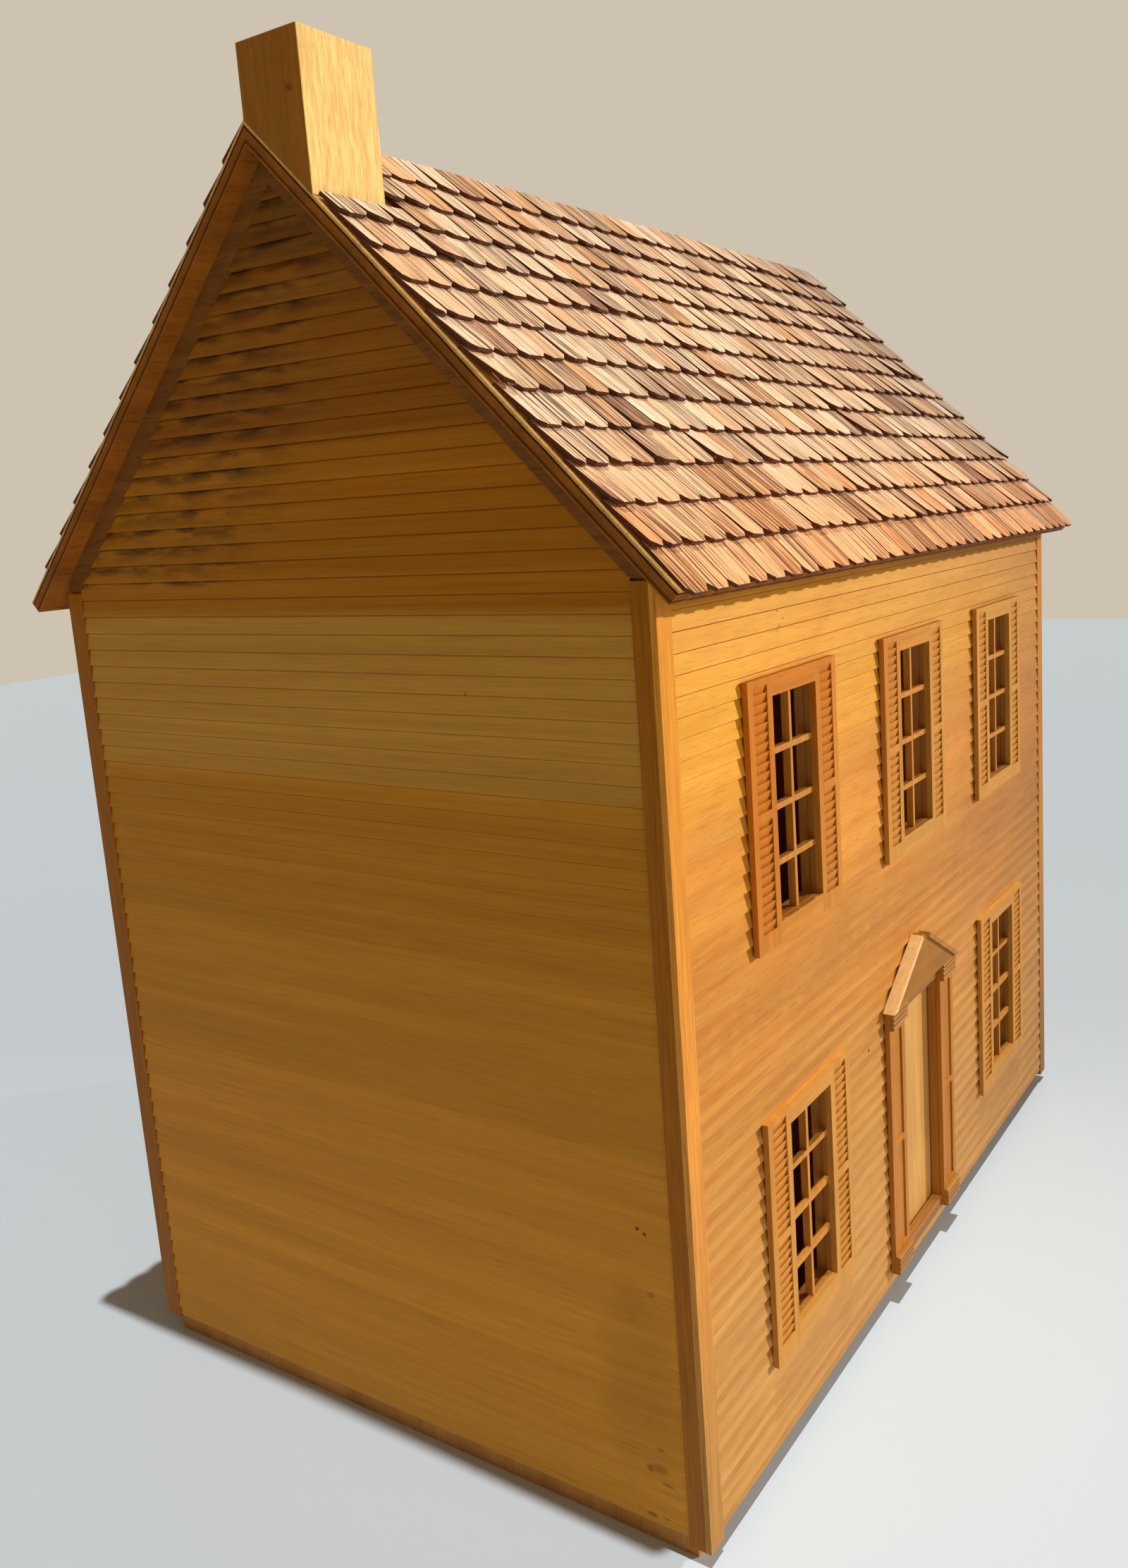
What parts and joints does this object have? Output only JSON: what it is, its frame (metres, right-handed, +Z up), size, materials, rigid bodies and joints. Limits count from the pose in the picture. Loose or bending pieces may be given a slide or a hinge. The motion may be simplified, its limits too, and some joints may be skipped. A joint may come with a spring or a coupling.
{
  "type": "dollhouse",
  "caption": "Wooden colonial doll's house with clapboard walls, shingled gable roof, shuttered windows, chimney and opening doors.",
  "frame": {"origin": "middle of the house's footprint, on the surface it stands on", "axes": "+Z up, -Y out of the front with the front door, -X out of the gable beside the chimney"},
  "size_m": [0.612, 0.4544, 0.7318],
  "materials": {
    "birch_plywood": "lacquered",
    "milled_siding": "lacquered",
    "trim_basswood": "lacquered",
    "cedar_shingle": "rough sawn, stained",
    "chimney_pine": "satin",
    "door_basswood": "satin",
    "plinth_pine": "stained",
    "knob_birch": "satin",
    "hinge_brass": "satin",
    "strike_steel": "brushed",
    "catch_plastic": "moulded"
  },
  "bodies": {
    "house": {"left_wall": "birch_plywood", "right_wall": "birch_plywood", "front_wall": "birch_plywood", "plinth_rails": "plinth_pine", "ground_floor": "birch_plywood", "upper_floor": "birch_plywood", "attic_floor": "birch_plywood", "ground_partitions": "birch_plywood", "upper_partitions": "birch_plywood", "rear_header": "trim_basswood", "front_roof_board": "birch_plywood", "rear_roof_board": "birch_plywood", "front_shingles": "cedar_shingle", "rear_shingles": "cedar_shingle", "chimney": "chimney_pine", "front_clapboards": "milled_siding", "left_clapboards": "milled_siding", "right_clapboards": "milled_siding", "front_corner_boards": "trim_basswood", "side_corner_boards": "trim_basswood", "frieze_boards": "trim_basswood", "upper_left_window_boards": "trim_basswood", "upper_left_shutters": "trim_basswood", "upper_left_glazing_bars": "trim_basswood", "upper_middle_window_boards": "trim_basswood", "upper_middle_shutters": "trim_basswood", "upper_middle_glazing_bars": "trim_basswood", "upper_right_window_boards": "trim_basswood", "upper_right_shutters": "trim_basswood", "upper_right_glazing_bars": "trim_basswood", "lower_left_window_boards": "trim_basswood", "lower_left_shutters": "trim_basswood", "lower_left_glazing_bars": "trim_basswood", "lower_right_window_boards": "trim_basswood", "lower_right_shutters": "trim_basswood", "lower_right_glazing_bars": "trim_basswood", "pilasters": "trim_basswood", "pilaster_caps": "trim_basswood", "pilaster_bases": "trim_basswood", "door_head": "trim_basswood", "threshold": "trim_basswood", "pediment": "trim_basswood", "left_raking_board": "trim_basswood", "right_raking_board": "trim_basswood", "door_pins": "hinge_brass", "wall_hinge_leaves": "hinge_brass", "hinge_pins": "hinge_brass", "magnet_catch": "catch_plastic"},
    "front_door": {"front_door": "door_basswood"},
    "left_rear_door": {"left_rear_door": "birch_plywood", "left_rear_clapboards": "milled_siding", "left_door_hinge_leaves": "hinge_brass", "left_rear_knob": "knob_birch", "left_strike_plate": "strike_steel"},
    "right_rear_door": {"right_rear_door": "birch_plywood", "right_rear_clapboards": "milled_siding", "right_door_hinge_leaves": "hinge_brass", "right_rear_knob": "knob_birch", "right_strike_plate": "strike_steel"}
  },
  "joints": [
    {"name": "front_door_hinge", "type": "hinge", "parent": "house", "child": "front_door", "pos_m": [-0.0333, -0.19625, 0.1], "axis": [0, 0, 1], "range_deg": [0, 95]},
    {"name": "left_rear_door_hinge", "type": "hinge", "parent": "house", "child": "left_rear_door", "pos_m": [-0.2908, 0.2056, 0.237], "axis": [0, 0, 1], "range_deg": [0, 170]},
    {"name": "right_rear_door_hinge", "type": "hinge", "parent": "house", "child": "right_rear_door", "pos_m": [0.2908, 0.2056, 0.237], "axis": [0, 0, -1], "range_deg": [0, 170]}
  ]
}
